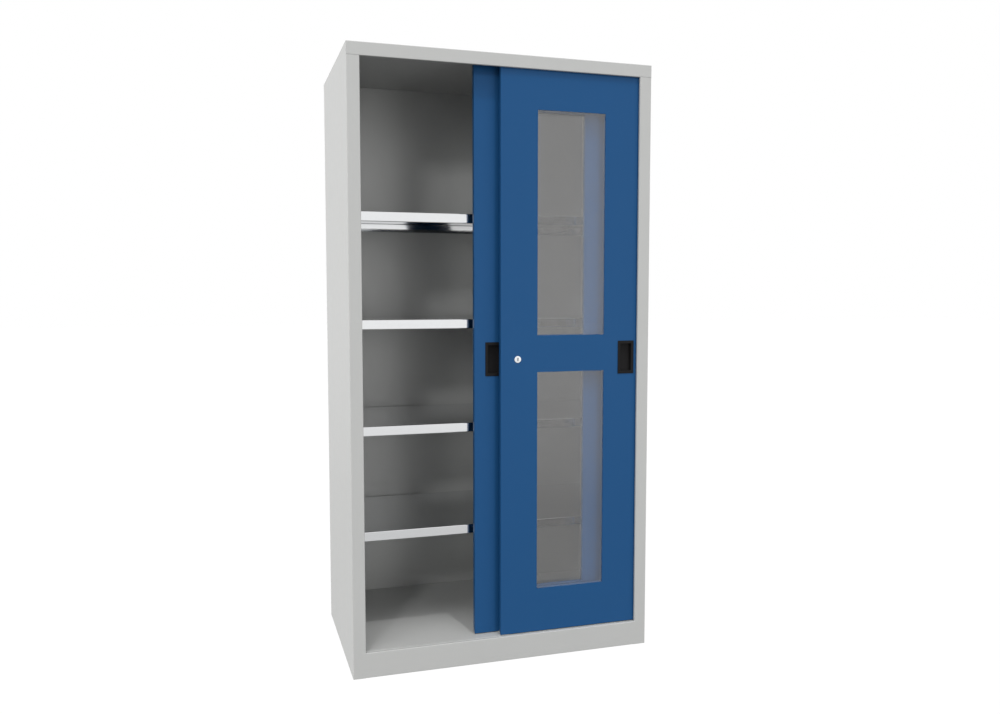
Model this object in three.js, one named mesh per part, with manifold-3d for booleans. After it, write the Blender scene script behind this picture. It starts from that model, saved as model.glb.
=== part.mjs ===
// A tall steel cabinet with two sliding doors. Each door has two glazed windows and a
// recessed pull, and the front door carries a key lock. Four galvanised shelves hang on
// brackets hooked into slotted uprights. The doors hang from grooved rollers that run on
// a track behind the top rail, and a nylon guide on the floor steers them.
//
// Lengths are in millimetres. The origin is on the floor under the middle of the cabinet.
// +X points right, +Y to the back and +Z up. Depths are counted from the front face.
// The front door is shut, at the right, and the rear door is slid open behind it.

import * as THREE from "three";
import { mergeVertices } from "three/addons/utils/BufferGeometryUtils.js";
import Module from "manifold-3d";

const wasm = await Module();
wasm.setup();

// Clearances shared by all pieces
const seat = 0.3;
const overrun = 5;

// Carcass
const cabinetWidth = 1000;
const cabinetDepth = 600;
const cabinetHeight = 1950;
const carcassSheet = 1;
const stileWidth = 40;
const stileReturn = 10;
const stileHem = 12;
const rearFlange = 20;
const topRailHeight = 40;
const topRailLip = 9;
const topRearFlange = 20;
const plinthHeight = 80;
const plinthLip = 11;
const plinthFoot = 25;
const floorFlange = 22;
const backPanelOverlap = 30;

// Doors
const doorSetback = 12;
const doorOverlap = 32;
const doorPanDepth = 20;
const doorSheet = 1;
const doorLip = 12;
const doorSpacing = 17;
const doorSideGap = 11;
const doorFloorGap = 3;
const doorHeadroom = 25;
const doorCornerCut = 18;
const rearDoorShortfall = 77.4;

// Windows
const windowSill = 143;
const windowHead = 138;
const crossbarHeight = 120;
const windowOuterMargin = 145;
const windowInnerMargin = 125;
const paneThickness = 4;
const paneOverlap = 12;
const glazingSheet = 1.2;
const glazingFlange = 14;
const glazingDepth = 12;

// Pulls and lock
const gripDrop = 17;
const pullWidth = 58;
const pullHeight = 110;
const pullRim = 9.5;
const pullProud = 2;
const pullWall = 1.5;
const pullCupDepth = 16;
const pullEdge = 36.5;
const pullCutClearance = 0.5;
const lockInset = 57.5;
const lockRosetteRadius = 11.5;
const lockRosetteThickness = 2.5;
const lockRosetteEdge = 0.4;
const lockBarrelRadius = 9;
const lockBoreRadius = 6.6;
const lockPlugRadius = 6.1;
const lockPlugProud = 0.6;
const lockHoleClearance = 0.4;
const keywayWidth = 2.2;
const keywayHeight = 8.5;
const keywayDepth = 6;
const shankSide = 7;
const shankLength = 3.4;
const shankClearance = 0.3;
const camThickness = 2;
const camHalfWidth = 6;
const camReach = 34;
const camHeel = 9.5;
const camTabHalf = 3.5;
const camTabLength = 12;
const camScrewRadius = 4;
const camScrewHead = 2.2;
const camScrewThread = 1.5;
const camScrewBore = 1.9;
const camScrewLength = 5;
const lockNutAcrossFlats = 24;
const lockNutThickness = 4;
const keeperSheet = 2;
const keeperFoot = 22;
const keeperReach = 9.2;
const keeperHeight = 28;
const keeperInset = 14.5;

// Track, hangers, rollers, floor guide and buffers
const trackSheet = 1.2;
const trackLipThickness = 1.5;
const trackWebSetback = 24;
const trackLedgeGap = 1;
const rollerRadius = 8;
const rollerGrooveRadius = 6;
const rollerGrooveWidth = 2.7;
const rollerWidth = 6;
const rollerBoreRadius = 2.4;
const rollerHeadroom = 1.3;
const rollerSetback = 14;
const axleRadius = 2;
const axleHeadRadius = 3.5;
const axleHeadThickness = 1.4;
const rollerSideGap = 0.7;
const hangerInset = 70;
const hangerFootWidth = 50;
const hangerPlateWidth = 30;
const hangerSheet = 2;
const hangerFootMargin = 2;
const hangerPlateRise = 6;
const channelSheet = 1.2;
const channelHeight = 14;
const guideWidth = 24;
const guideBase = 1.7;
const guideClearance = 1;
const guideShoeRise = 11;
const bufferRadius = 9;
const bufferEdge = 1.5;
const bufferGap = 0.5;

// Shelves, brackets and uprights
const shelfCount = 4;
const shelfSheet = 1;
const shelfSetback = 95;
const shelfRearGap = 2.7;
const shelfFlange = 30;
const shelfLip = 12;
const shelfSpacing = 340;
const firstShelfRise = 358;
const shelfEndGap = 0.5;
const uprightSheet = 1.2;
const uprightDepth = 8;
const uprightWidth = 30;
const frontUprightSetback = 140;
const rearUprightInset = 60;
const slotWidth = 8;
const slotHeight = 14;
const slotsPerShelf = 8;
const slotsBelowFirstShelf = 7;
const bracketSheet = 1.5;
const bracketHeight = 24;
const bracketLedge = 14;
const hookWidth = 6;
const hookHeight = 9;
const hookDrop = 6.5;
const hookRise = 12;

// Facets of the round pieces
const smallSides = 16;
const roundSides = 28;
const hexSides = 6;

// Planes and sizes that many pieces share
const front = -cabinetDepth / 2;
const back = cabinetDepth / 2;
const leftSide = -cabinetWidth / 2;
const rightSide = cabinetWidth / 2;
const innerHalf = cabinetWidth / 2 - carcassSheet;
const fittedHalf = innerHalf - seat;
const ceiling = cabinetHeight - carcassSheet;
const railBottom = cabinetHeight - topRailHeight;
const backPanelFace = back - carcassSheet - seat - carcassSheet;
const frontDoorFace = front + doorSetback;
const rearDoorFace = frontDoorFace + doorPanDepth + doorSpacing;
const doorBottom = plinthHeight + doorFloorGap;
const doorTop = ceiling - doorHeadroom;
const shutHalf = innerHalf - doorSideGap;
const doorWidth = shutHalf + doorOverlap / 2;
const windowWidth = doorWidth - windowOuterMargin - windowInnerMargin;
const windowHeight = (doorTop - doorBottom - windowSill - crossbarHeight - windowHead) / 2;
const crossbarZ = doorBottom + windowSill + windowHeight + crossbarHeight / 2;
const gripZ = crossbarZ - gripDrop;
const rollerZ = ceiling - seat - trackSheet - rollerHeadroom - rollerRadius;
const trackLipTop = rollerZ - rollerGrooveRadius - seat;
const trackLedgeTop = rollerZ - rollerRadius - trackLedgeGap;

// Surfaces
const greyPaint = { color: 0xc3c3c1, roughness: 0.45, metalness: 0 };
const bluePaint = { color: 0x2b5884, roughness: 0.4, metalness: 0 };
const galvanised = { color: 0xc9cbcc, roughness: 0.22, metalness: 1 };
const blackPlastic = { color: 0x1b1b1c, roughness: 0.5, metalness: 0 };
const chromePlate = { color: 0xd8d8da, roughness: 0.12, metalness: 1 };
const clearGlass = { color: 0xdfe6e6, roughness: 0.03, metalness: 0, transparent: true, opacity: 0.3 };
const zincSteel = { color: 0xa9abad, roughness: 0.35, metalness: 1 };
const whiteNylon = { color: 0xe6e4dc, roughness: 0.5, metalness: 0 };
const blackRubber = { color: 0x222222, roughness: 0.85, metalness: 0 };

// Turns a closed geometry into a solid: shared vertices are merged, flat slivers on an
// axis are dropped and the faces are turned outwards.
function solidFrom(geometry) {
  const bare = geometry.clone();
  bare.deleteAttribute("normal");
  bare.deleteAttribute("uv");
  const merged = mergeVertices(bare);
  const points = merged.getAttribute("position");
  const index = merged.getIndex().array;
  const kept = [];
  const a = new THREE.Vector3();
  const b = new THREE.Vector3();
  const c = new THREE.Vector3();
  let volume = 0;
  for (let i = 0; i < index.length; i += 3) {
    const [p, q, r] = [index[i], index[i + 1], index[i + 2]];
    if (p === q || q === r || r === p) continue;
    kept.push(p, q, r);
    a.fromBufferAttribute(points, p);
    b.fromBufferAttribute(points, q);
    c.fromBufferAttribute(points, r);
    volume += a.dot(b.cross(c));
  }
  if (volume < 0) {
    for (let i = 0; i < kept.length; i += 3) {
      [kept[i + 1], kept[i + 2]] = [kept[i + 2], kept[i + 1]];
    }
  }
  const mesh = new wasm.Mesh({
    numProp: 3,
    vertProperties: new Float32Array(points.array),
    triVerts: new Uint32Array(kept),
  });
  return new wasm.Manifold(mesh);
}

function geometryFrom(solid) {
  const mesh = solid.getMesh();
  const geometry = new THREE.BufferGeometry();
  geometry.setAttribute("position", new THREE.BufferAttribute(new Float32Array(mesh.vertProperties), 3));
  geometry.setIndex(new THREE.BufferAttribute(new Uint32Array(mesh.triVerts), 1));
  geometry.computeVertexNormals();
  return geometry;
}

// A block between two planes on each axis, given in any order
function block([x0, x1], [y0, y1], [z0, z1]) {
  const low = [Math.min(x0, x1), Math.min(y0, y1), Math.min(z0, z1)];
  const high = [Math.max(x0, x1), Math.max(y0, y1), Math.max(z0, z1)];
  const geometry = new THREE.BoxGeometry(1, 1, 1);
  const points = geometry.getAttribute("position");
  for (let i = 0; i < points.count; i += 1) {
    points.setXYZ(
      i,
      points.getX(i) < 0 ? low[0] : high[0],
      points.getY(i) < 0 ? low[1] : high[1],
      points.getZ(i) < 0 ? low[2] : high[2],
    );
  }
  return solidFrom(geometry);
}

// An outline extruded between two planes. The outline is in x and y for an extrusion
// along z, in y and z along x, and in x and z along y.
function extruded(axis, outline, from, to) {
  const shape = new THREE.Shape(outline.map(([u, v]) => new THREE.Vector2(u, v)));
  const geometry = new THREE.ExtrudeGeometry(shape, { depth: 1, bevelEnabled: false });
  const points = geometry.getAttribute("position");
  for (let i = 0; i < points.count; i += 1) {
    const u = points.getX(i);
    const v = points.getY(i);
    const along = points.getZ(i) > 0 ? to : from;
    if (axis === "x") points.setXYZ(i, along, u, v);
    if (axis === "y") points.setXYZ(i, u, along, v);
    if (axis === "z") points.setXYZ(i, u, v, along);
  }
  return solidFrom(geometry);
}

// A round piece turned about an axis along y. The profile is a list of radius and depth
// that starts and ends on the axis or closes on itself.
function turned(profile, [x, z], sides) {
  const geometry = new THREE.LatheGeometry(profile.map(([r, y]) => new THREE.Vector2(r, y)), sides);
  geometry.translate(x, 0, z);
  return solidFrom(geometry);
}

// A plain rod or disc along y between two planes
function rod(radius, [y0, y1], centre, sides) {
  return turned([[0, y0], [radius, y0], [radius, y1], [0, y1]], centre, sides);
}

// A rectangular ring in the plane of a door
function ring([x0, x1], [z0, z1], inward, outward, depths) {
  const outer = block([x0 - outward, x1 + outward], depths, [z0 - outward, z1 + outward]);
  const cutDepths = [depths[0] - overrun, depths[1] + overrun];
  const inner = block([x0 + inward, x1 - inward], cutDepths, [z0 + inward, z1 - inward]);
  return outer.subtract(inner);
}

const cabinet = new THREE.Group();

function place(name, solid, surface) {
  const mesh = new THREE.Mesh(geometryFrom(solid), new THREE.MeshStandardMaterial(surface));
  mesh.name = name;
  cabinet.add(mesh);
}

// Side panels: one folded sheet each, with the front stile and a rear flange. The top of
// the stile is cut back, because the top rail runs across the full width.
function sidePanel(side) {
  const outer = side * cabinetWidth / 2;
  const inward = (distance) => outer - side * distance;
  const outline = [
    [inward(0), front],
    [inward(stileWidth), front],
    [inward(stileWidth), front + stileReturn],
    [inward(stileWidth - stileHem), front + stileReturn],
    [inward(stileWidth - stileHem), front + stileReturn - carcassSheet],
    [inward(stileWidth - carcassSheet), front + stileReturn - carcassSheet],
    [inward(stileWidth - carcassSheet), front + carcassSheet],
    [inward(carcassSheet), front + carcassSheet],
    [inward(carcassSheet), back - carcassSheet],
    [inward(rearFlange), back - carcassSheet],
    [inward(rearFlange), back],
    [inward(0), back],
  ];
  const above = cabinetHeight + overrun;
  const railCut = [railBottom - seat, above];
  const behindFascia = front + carcassSheet + seat;
  const pastStile = inward(stileWidth + overrun);
  const fasciaRoom = block([inward(-overrun), pastStile], [front - overrun, behindFascia], railCut);
  const lipRoom = block(
    [inward(carcassSheet), pastStile],
    [front - overrun, front + stileReturn + overrun],
    railCut,
  );
  const rearRoom = block(
    [inward(-overrun), inward(rearFlange + overrun)],
    [back - carcassSheet - seat, back + overrun],
    [cabinetHeight - topRearFlange - seat, above],
  );
  return extruded("z", outline, 0, ceiling - seat)
    .subtract(fasciaRoom)
    .subtract(lipRoom)
    .subtract(rearRoom);
}

// Top panel with the top rail folded down at the front, a lip behind the rail and a
// flange at the rear
function topPanel() {
  const outline = [
    [front, cabinetHeight],
    [front, railBottom],
    [front + topRailLip, railBottom],
    [front + topRailLip, railBottom + carcassSheet],
    [front + carcassSheet, railBottom + carcassSheet],
    [front + carcassSheet, ceiling],
    [back - carcassSheet, ceiling],
    [back - carcassSheet, cabinetHeight - topRearFlange],
    [back, cabinetHeight - topRearFlange],
    [back, cabinetHeight],
  ];
  const lipEnds = [front + carcassSheet + seat, front + topRailLip + overrun];
  const lipHeights = [railBottom - overrun, railBottom + carcassSheet + seat];
  return extruded("x", outline, leftSide, rightSide)
    .subtract(block([leftSide - overrun, leftSide + carcassSheet + seat], lipEnds, lipHeights))
    .subtract(block([rightSide - carcassSheet - seat, rightSide + overrun], lipEnds, lipHeights));
}

// Front plinth, with a lip at the top that the floor meets and a foot at the bottom
function frontPlinth() {
  const outline = [
    [front, 0],
    [front + plinthFoot, 0],
    [front + plinthFoot, carcassSheet],
    [front + carcassSheet, carcassSheet],
    [front + carcassSheet, plinthHeight - carcassSheet],
    [front + plinthLip, plinthHeight - carcassSheet],
    [front + plinthLip, plinthHeight],
    [front, plinthHeight],
  ];
  const end = cabinetWidth / 2 - stileWidth - seat;
  return extruded("x", outline, -end, end);
}

function rearPlinth() {
  const outline = [
    [back, 0],
    [back, plinthHeight],
    [back - carcassSheet, plinthHeight],
    [back - carcassSheet, carcassSheet],
    [back - plinthFoot, carcassSheet],
    [back - plinthFoot, 0],
  ];
  const end = cabinetWidth / 2 - rearFlange - seat;
  return extruded("x", outline, -end, end);
}

// A tray that is open below: a flat sheet with four flanges folded down
function tray([x0, x1], [y0, y1], [z0, z1], sheet) {
  const inside = block([x0 + sheet, x1 - sheet], [y0 + sheet, y1 - sheet], [z0 - overrun, z1 - sheet]);
  return block([x0, x1], [y0, y1], [z0, z1]).subtract(inside);
}

function floorPanel() {
  return tray(
    [-fittedHalf, fittedHalf],
    [front + plinthLip + seat, backPanelFace - seat],
    [plinthHeight - floorFlange, plinthHeight],
    carcassSheet,
  );
}

function backPanel() {
  return block(
    [-fittedHalf, fittedHalf],
    [backPanelFace, backPanelFace + carcassSheet],
    [plinthHeight - backPanelOverlap, ceiling - seat],
  );
}

// Top track: a plate under the top with one web for each door. Each web ends in a ledge
// whose upturned lip runs in the grooves of that door's rollers.
function topTrack() {
  const top = ceiling - seat;
  const plateUnder = top - trackSheet;
  const ledgeUnder = trackLedgeTop - trackSheet;
  const rail = (face) => {
    const lipFront = face + rollerSetback - trackLipThickness / 2;
    const lipBack = face + rollerSetback + trackLipThickness / 2;
    const webFront = face + trackWebSetback;
    const webBack = webFront + trackSheet;
    return [
      [webFront, plateUnder],
      [webFront, trackLedgeTop],
      [lipBack, trackLedgeTop],
      [lipBack, trackLipTop],
      [lipFront, trackLipTop],
      [lipFront, ledgeUnder],
      [webBack, ledgeUnder],
      [webBack, plateUnder],
    ];
  };
  const rearRail = rail(rearDoorFace);
  const rearEdge = rearDoorFace + trackWebSetback + trackSheet;
  const outline = [
    [frontDoorFace + hangerFootMargin, top],
    [frontDoorFace + hangerFootMargin, plateUnder],
    ...rail(frontDoorFace),
    ...rearRail.slice(0, rearRail.length - 1),
    [rearEdge, top],
  ];
  return extruded("x", outline, -fittedHalf, fittedHalf);
}

// Depths of the channel along a door's bottom, which the floor guide's shoes run in
function channelDepths(face) {
  const frontLeg = face + doorSheet + seat;
  const backLeg = face + doorPanDepth;
  return { frontLeg, backLeg, innerFront: frontLeg + channelSheet, innerBack: backLeg - channelSheet };
}

function floorGuide() {
  const frontChannel = channelDepths(frontDoorFace);
  const rearChannel = channelDepths(rearDoorFace);
  const half = guideWidth / 2;
  const baseTop = plinthHeight + seat + guideBase;
  const shoe = (channel) => block(
    [-half, half],
    [channel.innerFront + guideClearance, channel.innerBack - guideClearance],
    [plinthHeight + seat, doorBottom + guideShoeRise],
  );
  const base = block(
    [-half, half],
    [frontChannel.innerFront + guideClearance, rearChannel.innerBack - guideClearance],
    [plinthHeight + seat, baseTop],
  );
  return base.add(shoe(frontChannel)).add(shoe(rearChannel));
}

// Rubber buffers on the side walls, level with the doors' crossbars
function buffer(side, face) {
  const wall = innerHalf - seat;
  const tip = shutHalf + bufferGap;
  const y = face + doorPanDepth / 2;
  const profile = [
    [0, wall],
    [bufferRadius, wall],
    [bufferRadius, tip + bufferEdge],
    [bufferRadius - bufferEdge, tip],
    [0, tip],
  ];
  const geometry = new THREE.LatheGeometry(profile.map(([r, x]) => new THREE.Vector2(r, x)), smallSides);
  const points = geometry.getAttribute("position");
  for (let i = 0; i < points.count; i += 1) {
    points.setXYZ(i, side * points.getY(i), y + points.getX(i), crossbarZ + points.getZ(i));
  }
  return solidFrom(geometry);
}

// Shelves, brackets and uprights
const slotPitch = shelfSpacing / slotsPerShelf;
const uprightFace = innerHalf - seat - uprightDepth;
const bracketWeb = uprightFace - seat;
const shelfHalf = bracketWeb - bracketSheet - shelfEndGap;
const shelfTop = (row) => plinthHeight + firstShelfRise + row * shelfSpacing;
const hookZ = (row) => shelfTop(row) - shelfFlange + hookRise;
const uprightDepths = { front: front + frontUprightSetback, rear: back - rearUprightInset };
const slotRows = slotsBelowFirstShelf + Math.ceil((ceiling - slotHeight - hookZ(0)) / slotPitch);

function shelf(row) {
  const top = shelfTop(row);
  const under = top - shelfFlange;
  const frontEdge = front + shelfSetback;
  const backEdge = backPanelFace - shelfRearGap;
  const ledgeRoom = under + bracketSheet + seat;
  const sideCut = (side) => block(
    [side * (bracketWeb - bracketLedge - seat - shelfSheet), side * (shelfHalf + overrun)],
    [frontEdge + shelfLip + seat, backEdge - shelfSheet],
    [under - overrun, ledgeRoom],
  );
  const lip = block(
    [-shelfHalf, shelfHalf],
    [frontEdge, frontEdge + shelfLip],
    [under, under + shelfSheet],
  );
  return tray([-shelfHalf, shelfHalf], [frontEdge, backEdge], [under, top], shelfSheet)
    .add(lip)
    .subtract(sideCut(-1))
    .subtract(sideCut(1));
}

function upright(side, depth) {
  const wall = side * (innerHalf - seat);
  const face = side * uprightFace;
  const inFace = side * (uprightFace + uprightSheet);
  const half = uprightWidth / 2;
  const outline = [
    [wall, depth - half],
    [face, depth - half],
    [face, depth + half],
    [wall, depth + half],
    [wall, depth + half - uprightSheet],
    [inFace, depth + half - uprightSheet],
    [inFace, depth - half + uprightSheet],
    [wall, depth - half + uprightSheet],
  ];
  let solid = extruded("z", outline, plinthHeight + seat, ceiling - seat);
  for (let slot = 0; slot < slotRows; slot += 1) {
    const z = hookZ(0) + (slot - slotsBelowFirstShelf) * slotPitch;
    solid = solid.subtract(block(
      [side * (uprightFace - overrun), side * (uprightFace + uprightSheet + overrun / 2)],
      [depth - slotWidth / 2, depth + slotWidth / 2],
      [z - slotHeight / 2, z + slotHeight / 2],
    ));
  }
  return solid;
}

// A bracket carries one end of a shelf. Its hooks pass through the uprights' slots and
// drop behind them.
function bracket(side, row) {
  const under = shelfTop(row) - shelfFlange;
  const z = hookZ(row);
  const depths = [uprightDepths.front - uprightWidth / 2, uprightDepths.rear + uprightWidth / 2];
  const outer = side * bracketWeb;
  const inner = side * (bracketWeb - bracketSheet);
  const web = block([outer, inner], depths, [under, under + bracketHeight]);
  const ledge = block([outer, side * (bracketWeb - bracketLedge)], depths, [under, under + bracketSheet]);
  let solid = web.add(ledge);
  const behindFace = side * (uprightFace + uprightSheet + seat);
  const toothEnd = behindFace + side * bracketSheet;
  for (const depth of [uprightDepths.front, uprightDepths.rear]) {
    const width = [depth - hookWidth / 2, depth + hookWidth / 2];
    const heights = [z - hookHeight / 2, z + hookHeight / 2];
    const arm = block([inner, toothEnd], width, heights);
    const tooth = block([behindFace, toothEnd], width, [heights[0] - hookDrop, heights[1]]);
    solid = solid.add(arm).add(tooth);
  }
  return solid;
}

// Doors. Widths on a door are counted from its outer edge, the one with the pull.
const frontDoor = { name: "front_door", face: frontDoorFace, outerEdge: shutHalf, toInner: -1 };
const rearDoor = {
  name: "rear_door",
  face: rearDoorFace,
  outerEdge: shutHalf - rearDoorShortfall - doorWidth,
  toInner: 1,
};
const across = (door, width) => door.outerEdge + door.toInner * width;
const span = (door, width0, width1) => {
  const ends = [across(door, width0), across(door, width1)];
  return [Math.min(...ends), Math.max(...ends)];
};
const windows = (door) => ["lower", "upper"].map((level, row) => {
  const bottom = doorBottom + windowSill + row * (windowHeight + crossbarHeight);
  return {
    level,
    width: span(door, windowOuterMargin, windowOuterMargin + windowWidth),
    height: [bottom, bottom + windowHeight],
  };
});
const pullSpan = (door, grow) => span(door, pullEdge - grow, pullEdge + pullWidth + grow);
const pullHeights = (grow) => [gripZ - pullHeight / 2 - grow, gripZ + pullHeight / 2 + grow];
const hangerPlaces = (door) => span(door, hangerInset, doorWidth - hangerInset);
const lockX = across(frontDoor, doorWidth - lockInset);
const sheetDepths = (door) => [door.face - overrun, door.face + doorSheet + overrun / 2];

// Door shell: a folded pan, open at the back and at the bottom, with its back corners
// cut off at the bottom
function doorShell(door) {
  const width = span(door, 0, doorWidth);
  const height = [doorBottom, doorTop];
  const backPlane = door.face + doorPanDepth;
  const hollow = block(
    [width[0] + doorSheet, width[1] - doorSheet],
    [door.face + doorSheet, backPlane - doorSheet],
    [doorBottom - overrun, doorTop - doorSheet],
  );
  const backOpening = block(
    [width[0] + doorLip, width[1] - doorLip],
    [backPlane - doorSheet - overrun / 2, backPlane + overrun],
    [doorBottom - overrun, doorTop - doorLip],
  );
  const cutReach = doorCornerCut + overrun;
  const cornerCut = [
    [backPlane - cutReach, doorBottom - overrun],
    [backPlane + overrun, doorBottom - overrun],
    [backPlane + overrun, doorBottom + cutReach],
  ];
  let shell = block(width, [door.face, backPlane], height)
    .subtract(hollow)
    .subtract(backOpening)
    .subtract(extruded("x", cornerCut, width[0] - overrun, width[1] + overrun));
  for (const opening of windows(door)) {
    shell = shell.subtract(block(opening.width, sheetDepths(door), opening.height));
  }
  const cupGrow = pullWall + pullCutClearance - pullRim;
  shell = shell.subtract(block(pullSpan(door, cupGrow), sheetDepths(door), pullHeights(cupGrow)));
  if (door === frontDoor) {
    const hole = rod(lockBarrelRadius + lockHoleClearance, sheetDepths(door), [lockX, gripZ], roundSides);
    shell = shell.subtract(hole);
  }
  return shell;
}

function guideChannel(door) {
  const { frontLeg, backLeg, innerFront, innerBack } = channelDepths(door.face);
  const top = doorBottom + channelHeight;
  const outline = [
    [frontLeg, doorBottom],
    [innerFront, doorBottom],
    [innerFront, top],
    [innerBack, top],
    [innerBack, doorBottom],
    [backLeg, doorBottom],
    [backLeg, top + channelSheet],
    [frontLeg, top + channelSheet],
  ];
  const [x0, x1] = span(door, doorSheet + seat, doorWidth - doorSheet - seat);
  return extruded("x", outline, x0, x1);
}

function pane(door, opening) {
  const faceY = door.face + doorSheet + seat;
  return block(
    [opening.width[0] - paneOverlap, opening.width[1] + paneOverlap],
    [faceY, faceY + paneThickness],
    [opening.height[0] - paneOverlap, opening.height[1] + paneOverlap],
  );
}

// The frame that clamps a pane from behind: a flange over the pane's edge and a jamb
// round the window
function glazingFrame(door, opening) {
  const frontY = door.face + doorSheet + seat + paneThickness + seat;
  const flange = ring(opening.width, opening.height, 0, glazingFlange, [frontY, frontY + glazingSheet]);
  const jamb = ring(opening.width, opening.height, 0, glazingSheet, [frontY, frontY + glazingDepth]);
  return flange.add(jamb);
}

// Flush pull: a rim on the door's face round a finger cup that is sunk into the door
function pull(door) {
  const rimDepths = [door.face - pullProud, door.face - seat];
  const rim = block(pullSpan(door, 0), rimDepths, pullHeights(0));
  const cupGrow = pullWall - pullRim;
  const cup = block(
    pullSpan(door, cupGrow),
    [door.face - pullProud, door.face + pullCupDepth],
    pullHeights(cupGrow),
  );
  const hollow = block(
    pullSpan(door, -pullRim),
    [door.face - pullProud - overrun, door.face + pullCupDepth - pullWall],
    pullHeights(-pullRim),
  );
  return rim.add(cup).subtract(hollow);
}

// Hanger: a foot on the door's top, a plate that rises from it and the roller's axle
function hanger(door, x) {
  const footBottom = doorTop + seat;
  const foot = block(
    [x - hangerFootWidth / 2, x + hangerFootWidth / 2],
    [door.face + hangerFootMargin, door.face + doorPanDepth - hangerFootMargin],
    [footBottom, footBottom + hangerSheet],
  );
  const rollerFront = door.face + rollerSetback - rollerWidth / 2;
  const rollerBack = rollerFront + rollerWidth;
  const plateBack = rollerFront - rollerSideGap;
  const plate = block(
    [x - hangerPlateWidth / 2, x + hangerPlateWidth / 2],
    [plateBack - hangerSheet, plateBack],
    [footBottom, rollerZ + hangerPlateRise],
  );
  const headFront = rollerBack + rollerSideGap;
  const axle = turned([
    [0, plateBack - hangerSheet / 2],
    [axleRadius, plateBack - hangerSheet / 2],
    [axleRadius, headFront],
    [axleHeadRadius, headFront],
    [axleHeadRadius, headFront + axleHeadThickness],
    [0, headFront + axleHeadThickness],
  ], [x, rollerZ], smallSides);
  return foot.add(plate).add(axle);
}

function roller(door, x) {
  const middle = door.face + rollerSetback;
  const halfWidth = rollerWidth / 2;
  const halfGroove = rollerGrooveWidth / 2;
  return turned([
    [rollerBoreRadius, middle - halfWidth],
    [rollerRadius, middle - halfWidth],
    [rollerRadius, middle - halfGroove],
    [rollerGrooveRadius, middle - halfGroove],
    [rollerGrooveRadius, middle + halfGroove],
    [rollerRadius, middle + halfGroove],
    [rollerRadius, middle + halfWidth],
    [rollerBoreRadius, middle + halfWidth],
    [rollerBoreRadius, middle - halfWidth],
  ], [x, rollerZ], roundSides);
}

// Lock: a housing through the front door with a nut behind the sheet, a turning plug,
// and a cam on the plug's square shank. The cam's bent tab catches the rear door's keeper.
const lockCentre = [lockX, gripZ];
const lockBack = frontDoorFace + doorPanDepth;
const camFront = lockBack + seat + seat;
const camBack = camFront + camThickness;
const shankEnd = lockBack + shankLength;

function lockHousing() {
  const face = frontDoorFace;
  return turned([
    [lockBoreRadius, face - lockRosetteThickness],
    [lockRosetteRadius - lockRosetteEdge, face - lockRosetteThickness],
    [lockRosetteRadius, face - lockRosetteThickness / 2],
    [lockRosetteRadius, face - seat],
    [lockBarrelRadius, face - seat],
    [lockBarrelRadius, lockBack],
    [lockBoreRadius, lockBack],
    [lockBoreRadius, face - lockRosetteThickness],
  ], lockCentre, roundSides);
}

function lockNut() {
  const near = frontDoorFace + doorSheet + seat;
  const corner = lockNutAcrossFlats / 2 / Math.cos(Math.PI / hexSides);
  const depths = [near, near + lockNutThickness];
  const holeDepths = [depths[0] - overrun, depths[1] + overrun];
  const hole = rod(lockBarrelRadius + seat, holeDepths, lockCentre, roundSides);
  return rod(corner, depths, lockCentre, hexSides).subtract(hole);
}

function lockPlug() {
  const tip = frontDoorFace - lockRosetteThickness - lockPlugProud;
  const [x, z] = lockCentre;
  const half = shankSide / 2;
  const body = rod(lockPlugRadius, [tip, lockBack + seat], lockCentre, roundSides);
  const shank = block([x - half, x + half], [lockBack - shankLength, shankEnd], [z - half, z + half]);
  const keyway = block(
    [x - keywayWidth / 2, x + keywayWidth / 2],
    [tip - overrun, tip + keywayDepth],
    [z - keywayHeight / 2, z + keywayHeight / 2],
  );
  const holeDepths = [shankEnd - camScrewLength - seat, shankEnd + overrun];
  const screwHole = rod(camScrewBore, holeDepths, lockCentre, smallSides);
  return body.add(shank).subtract(keyway).subtract(screwHole);
}

function lockCam() {
  const [x, z] = lockCentre;
  const half = shankSide / 2 + shankClearance;
  const reach = z - camReach;
  const plate = block(
    [x - camHalfWidth, x + camHalfWidth],
    [camFront, camBack],
    [reach - camTabHalf, z + camHeel],
  );
  const tab = block(
    [x - camTabHalf, x + camTabHalf],
    [camFront, camFront + camTabLength],
    [reach - camTabHalf, reach + camTabHalf],
  );
  const hole = block([x - half, x + half], [camFront - overrun, camBack + overrun / 2], [z - half, z + half]);
  return plate.add(tab).subtract(hole);
}

function lockCamScrew() {
  const headFront = shankEnd + seat;
  return turned([
    [0, shankEnd - camScrewLength],
    [camScrewThread, shankEnd - camScrewLength],
    [camScrewThread, headFront],
    [camScrewRadius, headFront],
    [camScrewRadius, headFront + camScrewHead],
    [0, headFront + camScrewHead],
  ], lockCentre, smallSides);
}

// Keeper: an angle on the rear door's face that the cam's tab hooks behind
function lockKeeper() {
  const near = doorWidth - keeperInset;
  const depths = [rearDoorFace - seat, rearDoorFace - seat - keeperSheet];
  const heights = [gripZ - keeperHeight / 2, gripZ + keeperHeight / 2];
  const foot = block(span(rearDoor, near - keeperFoot, near), depths, heights);
  const legDepths = [rearDoorFace - seat, rearDoorFace - seat - keeperReach];
  const leg = block(span(rearDoor, near - keeperSheet, near), legDepths, heights);
  return foot.add(leg);
}

place("side_panel_left", sidePanel(-1), greyPaint);
place("side_panel_right", sidePanel(1), greyPaint);
place("top_panel", topPanel(), greyPaint);
place("plinth_front", frontPlinth(), greyPaint);
place("plinth_rear", rearPlinth(), greyPaint);
place("floor_panel", floorPanel(), greyPaint);
place("back_panel", backPanel(), greyPaint);
place("top_track", topTrack(), zincSteel);
place("floor_guide", floorGuide(), whiteNylon);

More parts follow.
